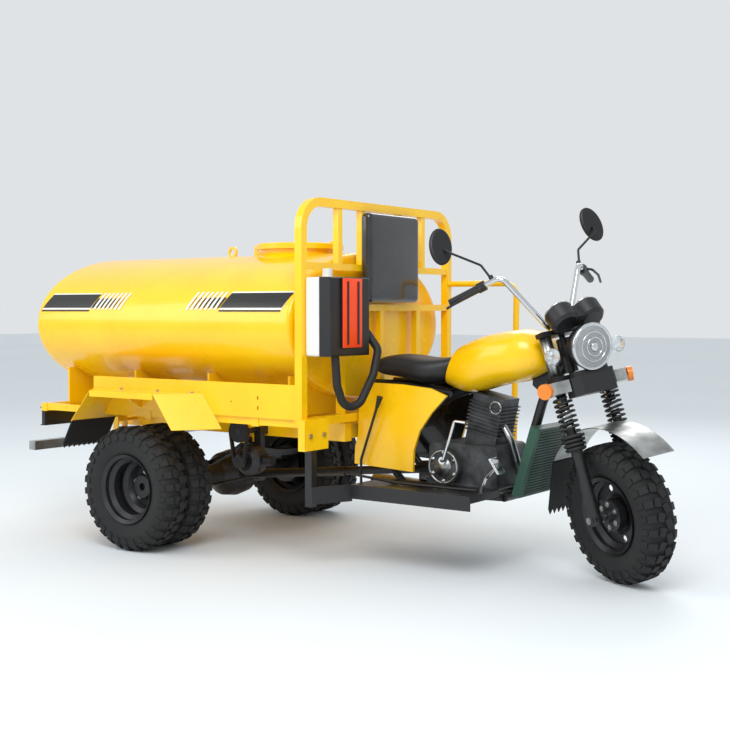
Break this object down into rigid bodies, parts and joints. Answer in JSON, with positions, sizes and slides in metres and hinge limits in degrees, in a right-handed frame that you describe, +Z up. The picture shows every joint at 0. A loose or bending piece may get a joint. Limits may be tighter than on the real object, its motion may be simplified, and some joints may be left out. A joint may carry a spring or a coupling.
{
  "type": "water tanker tricycle",
  "caption": "Three-wheeled motor tricycle with an oval water tank, filling hatch, rider's seat, raked fork and twin rear wheels.",
  "frame": {"origin": "middle of the footprint, on the ground", "axes": "+X forward, +Y to the rider's left, +Z up"},
  "size_m": [3.3842, 1.566, 1.6081],
  "materials": {
    "yellow_paint": "gloss",
    "black_paint": "semi-gloss",
    "tyre": "matt",
    "rubber": "matt",
    "rim": "satin",
    "chrome": "polished",
    "steel": "worn",
    "cast_metal": "cast",
    "green_paint": "satin",
    "vinyl": "satin",
    "white_plastic": "satin",
    "black_plastic": "satin",
    "lamp_glass": "clear",
    "amber_plastic": "gloss"
  },
  "bodies": {
    "chassis": {"rear_frame": "yellow_paint", "front_frame": "black_paint", "tank_saddles": "yellow_paint", "tank_body": "yellow_paint", "hatch_neck": "yellow_paint", "lifting_eye": "yellow_paint", "side_skirt_right": "yellow_paint", "side_skirt_left": "yellow_paint", "rear_fender_right": "yellow_paint", "rear_fender_left": "yellow_paint", "rear_mud_flaps": "rubber", "leaf_springs": "black_paint", "rear_axle": "black_paint", "headboard": "yellow_paint", "guard_rail": "yellow_paint", "running_board_right": "yellow_paint", "running_board_left": "yellow_paint", "engine": "cast_metal", "radiator": "green_paint", "fuel_tank": "yellow_paint", "seat": "vinyl", "side_cover_right": "yellow_paint", "side_cover_left": "yellow_paint", "backrest": "vinyl", "expansion_tank": "white_plastic", "air_cleaner": "black_plastic", "air_hose": "rubber", "silencer": "steel", "prop_shaft": "black_paint", "water_pump": "black_paint", "pump_belt": "rubber", "brake_rods": "black_paint", "foot_controls": "chrome", "hand_lever": "black_paint", "tail_light_board": "yellow_paint", "rear_bumper": "yellow_paint"},
    "hatch": {"hatch_lid": "yellow_paint"},
    "steering": {"front_axle": "steel", "fork_yokes": "black_paint", "fork_legs": "steel", "fork_springs": "black_paint", "handlebar": "chrome", "bar_controls": "black_plastic", "mirrors": "chrome", "headlamp_bowl": "black_paint", "headlamp_lens": "lamp_glass", "instrument_cluster": "black_plastic", "aux_lamps": "lamp_glass", "light_bar": "black_plastic", "light_bar_ends": "steel", "indicators": "amber_plastic", "front_fender": "steel", "front_mud_flap": "rubber"},
    "front_wheel": {"front_tyre": "tyre", "front_rim": "rim"},
    "rear_wheels_right": {"rear_tyres_right": "tyre", "rear_rims_right": "rim"},
    "rear_wheels_left": {"rear_tyres_left": "tyre", "rear_rims_left": "rim"}
  },
  "joints": [
    {"name": "steering_turn", "type": "hinge", "parent": "chassis", "child": "steering", "pos_m": [1.36939, 0, 0.27931], "axis": [-0.3057, 0, 0.9521], "range_deg": [-15.6, 74.4]},
    {"name": "front_wheel_spin", "type": "hinge", "parent": "steering", "child": "front_wheel", "pos_m": [1.41087, -0.02455, 0.29263], "axis": [0.4674, 0.8712, 0.1501], "continuous": true},
    {"name": "rear_right_spin", "type": "hinge", "parent": "chassis", "child": "rear_wheels_right", "pos_m": [-0.723, -0.5925, 0.29], "axis": [0, 1, 0], "continuous": true},
    {"name": "rear_left_spin", "type": "hinge", "parent": "chassis", "child": "rear_wheels_left", "pos_m": [-0.723, 0.5925, 0.29], "axis": [0, 1, 0], "continuous": true},
    {"name": "hatch_hinge", "type": "hinge", "parent": "chassis", "child": "hatch", "pos_m": [-0.507, 0, 1.426], "axis": [0, -1, 0], "range_deg": [0, 105]}
  ]
}
